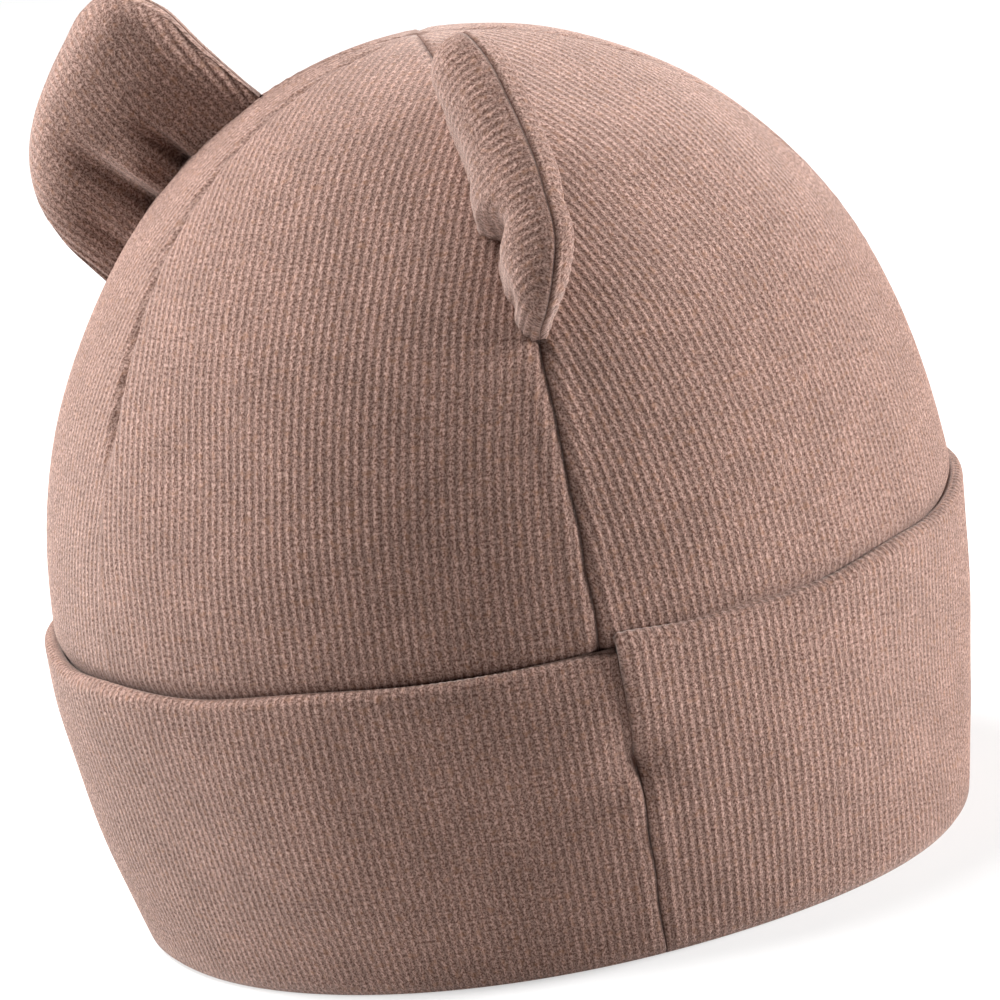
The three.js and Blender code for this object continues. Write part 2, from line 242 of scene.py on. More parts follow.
PLEAT_WIDEN = 0.5  # and how much it grows up to its end
PLEAT_RIDGE_OFFSET = 1.4  # the ridge beside a gather, in widths of the gather
PLEAT_RIDGE_WIDTH = 0.45
SWELL = {"along": 0.5, "out": 0.16, "reach": 5.0, "depth": 1.7}  # the puff between the two deep gathers

# Knit
RIB_PITCH = 1.45
RIB_DEPTH = 0.17
RIB_WANDER = 0.22
RIB_WANDER_START = (60, 80)  # heights
COURSE = 1.15  # height of a row of stitches
STITCH_SLANT = 1.1  # courses that a stitch's legs would rise across a whole rib
STITCH_WOBBLE = 0.9  # courses that the loose fibres shift a stitch by
FIBRE_STRETCH = (1.0, 0.75, 1.0)  # the fibres lie along the ribs more than across them
EAR_RIB_PITCH = 1.2
EAR_RIB_DEPTH = 0.1
EAR_RIB_EDGE = 0.5  # the ribs sink away this close to the ear's edge
EAR_RIB_WANDER = 0.25
EAR_RIB_SLANT_TOP = 0.22  # how far the ribs lean towards the ear's upper end, for each millimetre out
EAR_RIB_SLANT_LOW = -0.1
# painted light and shade: the ribs' tops are coloured lighter and their gaps darker; this sets how strongly
# on the ears
EAR_RIB_SHADE = 0.55  # how plainly the ears' ribs show, against 1 for the crown's
EAR_RIB_SHADE_DEPTH = 0.8  # half thickness at which they show in full
EAR_RIB_SHADE_TOP = 0.4  # share left at the upper end
EAR_RIB_SHADE_REACH = 10.0

# Places in the waves and the yarn, in millimetres, that keep one band or ear from repeating another
WANDER_PER_DEGREE = 40.0
RIPPLE_PER_DEGREE = 9.0
WEAVE_PER_BAND = 200.0
EAR_RIPPLE_STEP = 31.0
EAR_WANDER_STEP = 17.0
EAR_WEAVE_START = 500.0
EAR_WEAVE_STEP = 60.0

# Mesh
WELD_GRID = 1e-3
RIB_SAMPLES = 4  # columns of the mesh for each rib
SKIRT_ROWS = 8
SWELL_ROWS = 7
DOME_ROWS = 46
CUFF_ROWS = 30
FOLD_ROWS = 4
ROLL_ROWS = 7
EAR_COLUMNS = 220
EAR_ROWS = 54
EAR_ROW_CROWDING = 1.9  # the rows crowd towards the ear's edge
EAR_RIM_NEAR = 1.0  # points closer to the rim than this are also measured to their own column's end
CURVE_STEPS = 24

rng = np.random.default_rng(7)


def smoothstep(x, low, high):
    t = np.clip((x - low) / (high - low), 0, 1)
    return t * t * (3 - 2 * t)


def bump(distance, width):
    return np.exp(-((distance / width) ** 2))


def mix(a, b, share):
    return a + (b - a) * share


def turn(start, end):
    """The signed difference between azimuths, from -180 to 180."""
    return (end - start + 180) % 360 - 180


def at_azimuth(azimuth, radius, height):
    a = np.radians(azimuth)
    x, y, z = np.broadcast_arrays(radius * np.sin(a), -radius * np.cos(a), height)
    return np.stack([x, y, z], axis=-1).astype(float)


def path_length(points):
    """The distance along the rows of points, from the first row."""
    steps = np.diff(points, axis=0, prepend=points[:1])
    return np.cumsum(np.linalg.norm(steps, axis=-1), axis=0)


def make_waves(count, shortest, longest):
    """Random soft waves over a surface, as wave numbers in two directions and phases."""
    length = rng.uniform(shortest, longest, count)
    direction = rng.uniform(0, math.pi, count)
    phase = rng.uniform(0, 2 * math.pi, count)
    return [
        (math.cos(d) * 2 * math.pi / w, math.sin(d) * 2 * math.pi / w, p)
        for w, d, p in zip(length, direction, phase)
    ]


def wave_sum(waves, a, b):
    """The waves at surface coordinates a and b in millimetres, mostly from -1 to 1."""
    total = sum(np.sin(ka * a + kb * b + phase) for ka, kb, phase in waves)
    return total / math.sqrt(len(waves))


RIPPLES = make_waves(6, 24, 60)
WANDER = make_waves(5, 18, 50)
EDGE_WAVES = make_waves(4, 30, 80)
SEAM_WAVES = make_waves(4, 5, 16)


# Meshes


def strip(first, second):
    """Faces between two index rows. The longer row has a whole multiple of the shorter row's steps."""
    if len(first) == len(second):
        return [np.stack([first[:-1], first[1:], second[1:], second[:-1]], axis=1)]
    flip = len(first) < len(second)
    fine, coarse = (second, first) if flip else (first, second)
    ratio = (len(fine) - 1) // (len(coarse) - 1)
    half = ratio // 2
    triangles = []
    for k in range(len(coarse) - 1):
        a, b = coarse[k], coarse[k + 1]
        run = fine[k * ratio : (k + 1) * ratio + 1]
        fan = [(run[i], run[i + 1], a if i < half else b) for i in range(ratio)]
        fan.append((run[half], b, a))
        triangles += [(q, p, r) for p, q, r in fan] if flip else fan
    return [np.array(triangles)]


def weld(points, faces, values):
    """Merges points that coincide and drops the faces that this collapses."""
    keys = np.round(points / WELD_GRID).astype(np.int64)
    _, first, inverse = np.unique(keys, axis=0, return_index=True, return_inverse=True)
    inverse = inverse.reshape(-1)
    quads, triangles = [], []
    for group in faces:
        ids = inverse[group]
        same = ids == np.roll(ids, -1, axis=1)
        if ids.shape[1] == 3:
            triangles.append(ids[~same.any(axis=1)])
            continue
        crossed = (ids[:, 0] == ids[:, 2]) | (ids[:, 1] == ids[:, 3])
        quads.append(ids[~same.any(axis=1) & ~crossed])
        for k in range(4):
            one = same[:, k] & (same.sum(axis=1) == 1) & ~crossed
            triangles.append(np.delete(ids[one], k, axis=1))
    groups = [group for group in quads + triangles if len(group)]
    return points[first], groups, {name: value[first] for name, value in values.items()}


def build_mesh(name, points, faces, values):
    """A mesh from points in millimetres. Values holds numbers for each point, kept as attributes."""
    points, groups, values = weld(points, faces, values)
    loops = np.concatenate([group.ravel() for group in groups]).astype(np.int32)
    totals = np.concatenate([np.full(len(group), group.shape[1]) for group in groups])
    starts = np.concatenate([[0], np.cumsum(totals)[:-1]]).astype(np.int32)
    mesh = bpy.data.meshes.new(name)
    mesh.vertices.add(len(points))
    mesh.vertices.foreach_set("co", (points * MM).astype(np.float32).ravel())
    mesh.loops.add(len(loops))
    mesh.loops.foreach_set("vertex_index", loops)
    mesh.polygons.add(len(totals))
    mesh.polygons.foreach_set("loop_start", starts)
    mesh.update(calc_edges=True)
    mesh.validate()
    mesh.polygons.foreach_set("use_smooth", np.ones(len(mesh.polygons), dtype=bool))
    for key, value in values.items():
        kind, field = ("FLOAT", "value") if value.ndim == 1 else ("FLOAT_VECTOR", "vector")
        attribute = mesh.attributes.new(key, kind, "POINT")
        attribute.data.foreach_set(field, value.astype(np.float32).ravel())
    return mesh


class Surface:
    """Collects grids of points and the faces between them."""

    def __init__(self):
        self.points, self.faces, self.values, self.count = [], [], {}, 0

    def add(self, grid, **values):
        """Adds a grid with values for each point, and returns the points' indices."""
        rows, columns = grid.shape[:2]
        ids = self.count + np.arange(rows * columns).reshape(rows, columns)
        self.points.append(grid.reshape(-1, 3))
        for key, value in values.items():
            depth = value.shape[2:]
            flat = np.broadcast_to(value, (rows, columns) + depth).reshape((rows * columns,) + depth)
            self.values.setdefault(key, []).append(flat)
        self.count += rows * columns
        return ids

    def fill(self, ids, flip=False):
        """Faces over a whole grid."""
        quads = np.stack([ids[:-1, :-1], ids[:-1, 1:], ids[1:, 1:], ids[1:, :-1]], axis=-1)
        quads = quads.reshape(-1, 4)
        self.faces.append(quads[:, ::-1] if flip else quads)

    def join(self, first, second):
        """Faces between the edges of two grids."""
        self.faces += strip(first, second)

    def build(self, node):
        """The finished piece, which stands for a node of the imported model."""
        values = {key: np.concatenate(value) for key, value in self.values.items()}
        name = node + "_knit"
        mesh = build_mesh(name, np.concatenate(self.points), self.faces, values)
        mesh.materials.append(knit_material())
        piece = bpy.data.objects.new(name, mesh)
        bpy.context.scene.collection.objects.link(piece)
        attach(piece, "root")
        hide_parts(node)


def rib_wave(across, pitch=RIB_PITCH):
    """The height of the ribs, from -1 between them to 1 on top, at a distance across them."""
    return np.cos(2 * np.pi * across / pitch)


def weave_of(across, along):
    """The place in the yarn's pattern, across the ribs and along them."""
    return np.stack(np.broadcast_arrays(across, along, 0.0), axis=-1)


def clear_of_seams(azimuth, start, end, radius):
    margin = np.degrees(np.arcsin(np.minimum(1, SEAM_GAP / 2 / radius)))
    return np.clip(azimuth, start + margin, end - margin)


def seam_line(seam, height):
    """A seam's azimuth at a height, with the small wobble of a line sewn in soft knit."""
    return seam + SEAM_WOBBLE * wave_sum(SEAM_WAVES, height, 0)


def round_distance(line, azimuth, radius):
    """The distance round the hat between two azimuths."""
    return np.radians(np.abs(turn(line, azimuth))) * radius


def seam_distance(azimuth, radius, height, seams):
    """The distance round the hat to the nearest of the seams."""
    return np.minimum.reduce([round_distance(seam_line(seam, height), azimuth, radius) for seam in seams])


# Cuff


def cuff_outer_radius(height):
    t = np.clip(height / CUFF_HEIGHT, 0, 1)
    return mix(RIM_RADIUS, CUFF_RADIUS, t) + CUFF_BULGE * np.sin(np.pi * t)


def skirt_radius(height):
    """The outer radius of the crown's lower part, inside the cuff."""
    slack = mix(SLACK_LOW, SLACK_TOP, height / CUFF_HEIGHT)
    return cuff_outer_radius(height) - CUFF_WALL - slack


def strayed(azimuth, height):
    """How far the cuff's outer face lies from its round shape."""
    total = 0
    for row in STRAYS:
        round_the_hat = bump(turn(row["azimuth"], azimuth), row["spread"])
        total = total + row["by"] * round_the_hat * bump(height - row["height"], row["reach"])
    return total


def cuff_sections(top):
    """Radius and height of the cuff's outer and inner faces, as rows by columns."""
    slot = skirt_radius(FOLD_HEIGHT)
    foot = slot - CROWN_WALL
    roll = CUFF_WALL / 2
    straight = top - roll
    centre = cuff_outer_radius(straight) - roll
    share = np.linspace(0, 1, CUFF_ROWS)[:, None]
    angle = (np.pi / 2 * np.arange(1, ROLL_ROWS + 1) / ROLL_ROWS)[:, None]
    outer = [(foot + FOLD_ROUND, 0.0), ((foot + slot + FOLD_ROUND) / 2, 0.0)]
    inner = [(foot, FOLD_HEIGHT), ((foot + slot) / 2, FOLD_HEIGHT)]
    for k in range(FOLD_ROWS):
        a = math.pi / 2 * k / FOLD_ROWS
        rim = RIM_RADIUS - FOLD_ROUND * (1 - FOLD_EASE * math.sin(a))
        outer.append((rim, FOLD_ROUND * (1 - math.cos(a))))
        ledge = mix(slot, cuff_outer_radius(FOLD_HEIGHT) - CUFF_WALL, k / FOLD_ROWS)
        inner.append((ledge, FOLD_HEIGHT))
    sections = []
    for fold, start, wall, sign in ((outer, FOLD_ROUND, 0, 1), (inner, FOLD_HEIGHT, CUFF_WALL, -1)):
        fold_radius, fold_height = np.array(fold).T[:, :, None] * np.ones_like(top)
        height = start + (straight - start) * share
        radius = cuff_outer_radius(height) - wall
        roll_radius = centre + sign * roll * np.cos(angle)
        roll_height = straight + roll * np.sin(angle)
        sections.append(
            (np.vstack([fold_radius, radius, roll_radius]), np.vstack([fold_height, height, roll_height]))
        )
    return sections


def cuff_relief(across, height, away, from_right, is_back):
    """For the outer face: how far it moves out, the shade in its creases and how far the panels lap."""
    above_tack = height - (CUFF_HEIGHT - TACK_DROP)
    tack = bump(away, TACK_REACH) * bump(above_tack, TACK_REACH)
    notch = bump(away, NOTCH_WIDTH) * bump(above_tack, NOTCH_HEIGHT)
    lapped = smoothstep(above_tack, *LAP_START) * bump(from_right, LAP_REACH)
    sewn = 1 - lapped
    dip = CUFF_SEAM_VALLEY * bump(away, SEAM_VALLEY_WIDTH) * sewn + TACK_DEPTH * tack + NOTCH_DEPTH * notch
    welt = SEAM_WELT * bump(away - SEAM_WELT_OFFSET, CUFF_WELT_WIDTH) * sewn
    # painted shade: the yarn is coloured darker in the seam's crease and in the tack's dent
    shade = CUFF_SEAM_SHADE * bump(away, CUFF_SEAM_SHADE_WIDTH) * sewn + NOTCH_SHADE * notch
    if is_back:
        dip = dip + lapped * LAP_STEP * bump(away, LAP_STEP_WIDTH)
        welt = welt + lapped * LAP * bump(away, LAP_RISE_REACH)
    else:
        dip = dip + lapped * LAP * bump(away, LAP_SINK_REACH)
        # painted shadow of the back panel's lapped edge on the front panel
        shade = shade + LAP_SHADE * lapped * bump(away - LAP_SHADE_OFFSET, LAP_SHADE_WIDTH)
    relief = RIB_DEPTH * (rib_wave(across) - 1) / 2 * (1 - bump(away, SEAM_FADE))
    ripple = CUFF_RIPPLE * wave_sum(RIPPLES, across, height) * smoothstep(height, *CUFF_RIPPLE_START)
    lift = smoothstep(height, *CUFF_RELIEF_START)
    return lift * (relief - dip + welt + ripple), shade, lapped


def cuff_piece(node, start, end, is_back):
    ribs = round(math.radians(end - start) * CUFF_RADIUS / RIB_PITCH)
    steps = ribs * RIB_SAMPLES
    azimuth = np.linspace(start, end, steps + 1)[None, :]
    across = np.linspace(0, ribs * RIB_PITCH, steps + 1)[None, :] - RIB_PITCH / 2
    from_right = round_distance(CUFF_SEAM_RIGHT, azimuth, CUFF_RADIUS)
    top = CUFF_HEIGHT + (HEM_STEP * bump(from_right, HEM_STEP_REACH) if is_back else 0)
    top = top + HEM_WAVE * wave_sum(EDGE_WAVES, across, 0) * smoothstep(from_right, *HEM_WAVE_START)
    surface = Surface()
    faces = []
    for is_outer, (radius, height) in zip((True, False), cuff_sections(top)):
        weave = weave_of(across, path_length(np.stack([radius, height], axis=-1)))
        rib = rib_wave(across)
        over = 0
        if is_outer:
            away = seam_distance(azimuth, CUFF_RADIUS, height, CUFF_SEAMS)
            move, shade, lapped = cuff_relief(across, height, away, from_right, is_back)
            near_top = smoothstep(height, top - CUFF_WALL / 2, top)
            radius = radius + move * mix(1, ROLL_OUT, near_top) + strayed(azimuth, height)
            height = height + move * ROLL_UP * near_top
            rib = rib - shade
            if is_back:
                over = np.degrees(LAP_OVER / CUFF_RADIUS) * lapped * bump(from_right, LAP_OVER_REACH)
        else:
            radius = radius + strayed(azimuth, height) * smoothstep(height, *INNER_STRAY)
        place = clear_of_seams(azimuth, seam_line(start, height), seam_line(end, height), radius) - over
        step = 1 if is_outer else RIB_SAMPLES
        grid = at_azimuth(place, radius, height)[:, ::step]
        ids = surface.add(grid, weave=weave[:, ::step], rib=rib[:, ::step])
        surface.fill(ids, flip=not is_outer)
        faces.append(ids)
    outer, inner = faces
    surface.join(inner[0], outer[0])
    surface.join(outer[-1], inner[-1])
    surface.join(outer[:, 0], inner[:, 0])
    surface.join(inner[:, -1], outer[:, -1])
    surface.build(node)


# Crown


def dome_radius(height):
    share = np.clip((height - WIDEST_HEIGHT) / (CROWN_HEIGHT - WIDEST_HEIGHT), 0, 1)
    return CROWN_RADIUS * (1 - share**TOP_FULLNESS) ** (1 / SIDE_FULLNESS)


def dome_height(radius):
    share = (1 - (radius / CROWN_RADIUS) ** SIDE_FULLNESS) ** (1 / TOP_FULLNESS)
    return mix(WIDEST_HEIGHT, CROWN_HEIGHT, share)


def crown_outer_radius(height):
    swell = smoothstep(height, CUFF_HEIGHT - CUFF_WALL, CUFF_HEIGHT + OVERHANG)
    return mix(skirt_radius(np.minimum(height, CUFF_HEIGHT)), dome_radius(height), swell)


def on_crown(azimuth, radius, height):
    """A point of the crown, which leans a little and sits a little to one side."""
    lean = LEAN * smoothstep(height, CUFF_HEIGHT, CROWN_HEIGHT)
    shift = SIDE_SHIFT * smoothstep(height, *SIDE_SHIFT_START) * (1 - smoothstep(height, *SIDE_SHIFT_END))
    moved = at_azimuth(LEAN_AZIMUTH, lean, 0) + at_azimuth(SIDE_SHIFT_AZIMUTH, shift, 0)
    return at_azimuth(azimuth, radius, height) + moved


def crown_profile():
    """Radius and height of the crown's two faces, from the lower edge to the pole, and the outer's slope."""
    low = FOLD_HEIGHT + FOOT_GAP
    lip = CUFF_HEIGHT - CUFF_WALL
    join = CUFF_HEIGHT + OVERHANG
    heights = np.concatenate([
        np.linspace(low, lip, SKIRT_ROWS, endpoint=False),
        np.linspace(lip, join, SWELL_ROWS, endpoint=False),
    ])
    share = (join - WIDEST_HEIGHT) / (CROWN_HEIGHT - WIDEST_HEIGHT)
    first = math.asin(share ** (TOP_FULLNESS / 2))
    last = math.acos((POLE_RADIUS / CROWN_RADIUS) ** (SIDE_FULLNESS / 2))
    angle = np.linspace(first, last, DOME_ROWS + 1)
    dome = CROWN_RADIUS * np.cos(angle) ** (2 / SIDE_FULLNESS)
    rise = (CROWN_HEIGHT - WIDEST_HEIGHT) * np.sin(angle) ** (2 / TOP_FULLNESS)
    radius = np.concatenate([crown_outer_radius(heights), dome])
    height = np.concatenate([heights, WIDEST_HEIGHT + rise])
    slope = np.stack([np.gradient(radius), np.gradient(height)])
    slope /= np.linalg.norm(slope, axis=0)
    inner_radius = np.maximum(POLE_RADIUS, radius - CROWN_WALL * slope[1])
    inner_height = height + CROWN_WALL * slope[0]
    inner_height[0] = low
    inner_radius[0] = radius[0] - CROWN_WALL
    return [row[:, None] for row in (radius, height, inner_radius, inner_height, *slope)]


def dart_azimuth(dart, height):
    drift = FRONT_DART_DRIFT if dart in FRONT_DARTS else 0.0
    return dart + drift * (1 - smoothstep(height, DART_FOOT, CROWN_HEIGHT))


def crown_relief(azimuth, across, centre, radius, height, along, darts):
    """How far the crown's outer face moves out, and its ribs less the shade in its creases."""
    seam = seam_distance(azimuth, radius, height, CROWN_SEAMS)
    dip = CROWN_SEAM_VALLEY * bump(seam, SEAM_VALLEY_WIDTH)
    welt = SEAM_WELT * bump(seam - SEAM_WELT_OFFSET, CROWN_WELT_WIDTH)
    # painted shade in the seam's crease
    shade = CROWN_SEAM_SHADE * bump(seam, CROWN_SEAM_SHADE_WIDTH)
    # painted shade on the crown just above the cuff's edge
    shade = shade + CUFF_SHADE * (1 - smoothstep(height, CUFF_HEIGHT, CUFF_HEIGHT + CUFF_SHADE_REACH))
    ribbed = 1 - bump(seam, SEAM_FADE)
    calm = smoothstep(seam, 0, CALM_REACH)
    pucker = 1 - DART_PUCKER * (1 - np.cos(2 * np.pi * along / DART_STITCH))
    drawn_in = mix(DART_LOW_SHARE, DART_HIGH_SHARE, smoothstep(height, *DART_EASE))
    drawn_in = drawn_in * smoothstep(height, *DART_START) * pucker
    for dart in darts:
        away = round_distance(dart_azimuth(dart, height), azimuth, radius)
        dip = dip + DART_DEPTH * bump(away, DART_WIDTH) * drawn_in
        welt = welt + DART_WELT * bump(away - DART_WELT_OFFSET, DART_WELT_WIDTH) * drawn_in
        # painted shade in the dart's crease
        shade = shade + DART_SHADE * bump(away, DART_SHADE_WIDTH) * drawn_in
        ribbed = ribbed * (1 - bump(away, DART_FADE))
        calm = calm * smoothstep(away, 0, CALM_REACH)
    ribs_up = rib_wave(across)
    relief = RIB_DEPTH * (ribs_up - 1) / 2 * ribbed
    ripple = CROWN_RIPPLE * wave_sum(RIPPLES, across + RIPPLE_PER_DEGREE * centre, along)
    ripple = ripple * calm * smoothstep(height, *CROWN_RIPPLE_START)
    shown = smoothstep(height, *CROWN_RELIEF_START) * smoothstep(radius, POLE_RADIUS, POLE_FADE)
    return shown * (relief - dip + welt + ripple), ribs_up * ribbed - shade


def crown_piece(node, start, end, darts):
    """A panel of the crown, in bands between its seams and darts. The ribs of a band run straight up."""
    radius, height, inner_radius, inner_height, slope_out, slope_up = crown_profile()
    along = path_length(np.hstack([radius, height]))[:, None]
    rib_radius = np.where(height < CUFF_HEIGHT + OVERHANG, dome_radius(CUFF_HEIGHT + OVERHANG), radius)
    seams = seam_line(start, height), seam_line(end, height)
    lines = [seams[0]] + [dart_azimuth(dart, height) for dart in darts] + [seams[1]]
    surface = Surface()
    bands = []
    for left, right in zip(lines[:-1], lines[1:]):
        centre = (left[0] + right[0]) / 2
        widest = np.max(np.radians(np.maximum(right - centre, centre - left)) * rib_radius)
        ribs = math.ceil(widest / RIB_PITCH)
        even = np.linspace(-ribs, ribs, 2 * ribs * RIB_SAMPLES + 1)[None, :] * RIB_PITCH
        wander = RIB_WANDER * wave_sum(WANDER, even + WANDER_PER_DEGREE * centre, along)
        wander = wander * smoothstep(height, *RIB_WANDER_START)
        azimuth = centre + np.degrees((even + wander) / rib_radius)
        azimuth = clear_of_seams(np.clip(azimuth, left, right), *seams, radius)
        across = np.radians(azimuth - centre) * rib_radius - wander
        move, rib = crown_relief(azimuth, across, centre, radius, height, along, darts)
        weave = weave_of(across + WEAVE_PER_BAND * len(bands), along)
        grid = on_crown(azimuth, radius + move * slope_up, height - move * slope_out)
        outer = surface.add(grid, weave=weave, rib=rib)
        coarse = clear_of_seams(azimuth[:, ::RIB_SAMPLES], *seams, inner_radius)
        inner_grid = on_crown(coarse, inner_radius, inner_height)
        inner_rib = rib_wave(across[:, ::RIB_SAMPLES])
        inner = surface.add(inner_grid, weave=weave[:, ::RIB_SAMPLES], rib=inner_rib)
        surface.fill(outer)
        surface.fill(inner, flip=True)
        surface.join(inner[0], outer[0])
        surface.join(outer[-1], inner[-1])
        bands.append((outer, inner))
    first_outer, first_inner = bands[0]
    last_outer, last_inner = bands[-1]
    surface.join(first_outer[:, 0], first_inner[:, 0])
    surface.join(last_inner[:, -1], last_outer[:, -1])
    surface.build(node)


# Ears


def smooth_curve(points, count):
    """A Catmull-Rom curve through the points, evenly spaced by length."""
    p = np.array(points, float)
    padded = np.vstack([2 * p[0] - p[1], p, 2 * p[-1] - p[-2]])
    t = np.linspace(0, 1, CURVE_STEPS, endpoint=False)[:, None]
    dense = []
    for a, b, c, d in zip(padded[:-3], padded[1:-2], padded[2:-1], padded[3:]):
        square = 2 * a - 5 * b + 4 * c - d
        cube = 3 * b - a - 3 * c + d
        dense.append((2 * b + (c - a) * t + square * t**2 + cube * t**3) / 2)
    dense = np.vstack(dense + [p[-1:]])
    along = path_length(dense)
    at = np.linspace(0, along[-1], count)
    return np.stack([np.interp(at, along, dense[:, k]) for k in range(2)], axis=1)


def ear_axes(seam, low_radius):
    """The upper end of an ear's base, the directions along it, out and across, and its length."""
    upper = on_crown(seam, EAR_TOP_RADIUS, dome_height(EAR_TOP_RADIUS))
    lower = on_crown(seam, low_radius, dome_height(low_radius))
    length = float(np.linalg.norm(lower - upper))
    along = (lower - upper) / length
    out = np.cross(along, at_azimuth(seam + 90, 1, 0))
    out /= np.linalg.norm(out)
    return upper, along, out, np.cross(out, along), length


def distance_to_rim(x, y, rim):
    nearest = np.full(x.shape, np.inf)
    for point in rim[::2]:
        nearest = np.minimum(nearest, np.hypot(x - point[0], y - point[1]))
    own = np.hypot(x - rim[:, 0], y - rim[:, 1])
    return np.where(own < EAR_RIM_NEAR, np.minimum(nearest, own), nearest)


def ear_half_thickness(ear, seed, x, y, above, to_rim, length):
    """Half of the ear's thickness: none at the rim, full inside, gathered and pinched at the base."""
    height, shift = ear["height"], ear["shift"]
    t = np.minimum(1, to_rim / EAR_PUFF_REACH)
    pinch = smoothstep(above, 0, height / 2)
    thick = mix(EAR_BASE_PUFF, EAR_PUFF, pinch) * (1 - (1 - t) ** EAR_FULLNESS) ** (1 / EAR_FULLNESS)
    swell = np.hypot(x - (SWELL["along"] + shift) * length, above - SWELL["out"] * height)
    thick = thick + SWELL["depth"] * bump(swell, SWELL["reach"])
    for pleat in PLEATS:
        reach = pleat["length"] * height
        run_out = 1 - smoothstep(above, PLEAT_FULL * reach, reach)
        away = x - (pleat["along"] + shift) * length - pleat["slant"] * above
        fold = bump(away, pleat["width"] * (PLEAT_NARROW + PLEAT_WIDEN * above / reach)) * run_out
        ridge = bump(away + PLEAT_RIDGE_OFFSET * pleat["width"], PLEAT_RIDGE_WIDTH * pleat["width"]) * run_out
        depth = pleat["depth"] * np.minimum(1, thick / EAR_BASE_PUFF)
        thick = thick - depth * fold + pleat["ridge"] * depth * ridge
    ripple = EAR_RIPPLE * wave_sum(RIPPLES, x + EAR_RIPPLE_STEP * seed, y)
    return thick + ripple * np.minimum(1, to_rim / EAR_RIPPLE_REACH) * pinch


def ear_piece(ear, face):
    """One face of an ear: a grid from its base on the crown's seam, in the first row, out to its rim."""
    upper, along, out, across, length = ear_axes(ear["seam"], ear["low_radius"])
    side = ear["back"] if face == "back" else -ear["back"]
    seed = ear["seed"] + (face == "back")
    outline = [(row["along"] * length, row["out"] * ear["height"] + EAR_SEAT) for row in EAR_OUTLINE]
    rim = smooth_curve(outline, EAR_COLUMNS + 1)
    share = np.linspace(0, 1, EAR_COLUMNS + 1)
    base_radius = mix(EAR_TOP_RADIUS, ear["low_radius"], share)
    offset = on_crown(ear["seam"], base_radius, dome_height(base_radius)) - upper
    seat = offset @ out + EAR_SEAT
    base = np.stack([offset @ along, seat - EAR_SINK, offset @ across], axis=1)
    level = 1 - (1 - np.linspace(0, 1, EAR_ROWS + 1)[:, None]) ** EAR_ROW_CROWDING
    x = mix(base[:, 0], rim[:, 0], level)
    y = mix(base[:, 1], rim[:, 1], level)
    above = np.maximum(0, y - seat)
    to_rim = distance_to_rim(x, y, rim)

    fan = x + above * mix(EAR_RIB_SLANT_TOP, EAR_RIB_SLANT_LOW, x / length)
    wander = EAR_RIB_WANDER * wave_sum(WANDER, x, y + EAR_WANDER_STEP * seed)
    ribs_up = rib_wave(fan + wander, EAR_RIB_PITCH)
    gather = 1 + EAR_GATHER * bump(to_rim - EAR_GATHER_OFFSET, EAR_GATHER_WIDTH)
    relief = EAR_RIB_DEPTH * gather * (ribs_up - 1) / 2 * smoothstep(to_rim, 0, EAR_RIB_EDGE)
    thick = ear_half_thickness(ear, seed, x, y, above, to_rim, length) + relief
    thick = np.maximum(thick, 0) * (level < 1)

    inside_ends = smoothstep(share, 0, EAR_END) * smoothstep(1 - share, 0, EAR_END)
    seam_near = smoothstep(level, *EAR_SEAM_NEAR) * inside_ends
    bulge = EAR_LOBE * np.sin(np.pi * np.minimum(1, thick / EAR_LOBE_DEPTH))
    bulge = bulge * bump(to_rim, EAR_LOBE_REACH) * inside_ends
    inset = EAR_LOBE_INSET * seam_near
    to_edge = (rim - base[:, :2]).T
    to_edge = to_edge / np.maximum(np.linalg.norm(to_edge, axis=0), 1e-6)
    lean = mix(EAR_LEAN_TOP, EAR_LEAN_LOW, x / length)
    wobble = EAR_SEAM_WOBBLE * wave_sum(SEAM_WAVES, path_length(rim), 0) * seam_near
    bend = ear["back"] * lean * (np.maximum(0, y) / ear["height"]) ** 2 + wobble

    # how strongly the ear's ribs are painted light on top and dark in their gaps
    shown = EAR_RIB_SHADE * smoothstep(thick, 0, EAR_RIB_SHADE_DEPTH)
    shown = shown * mix(EAR_RIB_SHADE_TOP, 1, smoothstep(x, 0, EAR_RIB_SHADE_REACH))
    # less the painted shade in the seam round the ear's edge
    rib = shown * ribs_up - EAR_SEAM_SHADE * bump(thick, EAR_SEAM_SHADE_DEPTH)
    weave_across = fan * RIB_PITCH / EAR_RIB_PITCH + EAR_WEAVE_START + EAR_WEAVE_STEP * seed
    surface = Surface()
    grids = []
    for is_outer in (True, False):
        depth = thick if is_outer else np.maximum(0, thick - EAR_WALL)
        push = (bulge if is_outer else 0) - inset
        px, py = x + push * to_edge[0], y + push * to_edge[1]
        sideways = base[:, 2] * (1 - level) + bend + side * (depth + EAR_SEAM_GAP / 2)
        grid = upper + px[..., None] * along + py[..., None] * out + sideways[..., None] * across
        ids = surface.add(grid, weave=weave_of(weave_across, path_length(grid)), rib=rib)
        surface.fill(ids, flip=(side > 0) == is_outer)
        grids.append(ids)
    far, near = grids if side > 0 else grids[::-1]
    surface.join(far[0], near[0])
    surface.build(f"{ear['name']}_{face}")


# Materials

YARN = (0.195, 0.102, 0.077)
YARN_LIGHT = (0.38, 0.254, 0.213)
# the darkest fibres, and also the tone of the painted shade in creases
YARN_DARK_AND_SHADE = (0.07, 0.027, 0.018)
YARN_WARM = (0.238, 0.122, 0.074)
KNIT_SURFACE = {
    "Specular IOR Level": 0.08,
    "Sheen Weight": 0.36,
    "Sheen Roughness": 0.45,
    "Sheen Tint": (0.95, 0.82, 0.76, 1),
}
FLOOR_SURFACE = {
    "Base Color": (0.4, 0.4, 0.4, 1),
    "Roughness": 0.8,
    "Specular IOR Level": 0.2,
    "Emission Color": (1, 1, 1, 1),
    "Emission Strength": 0.55,
}


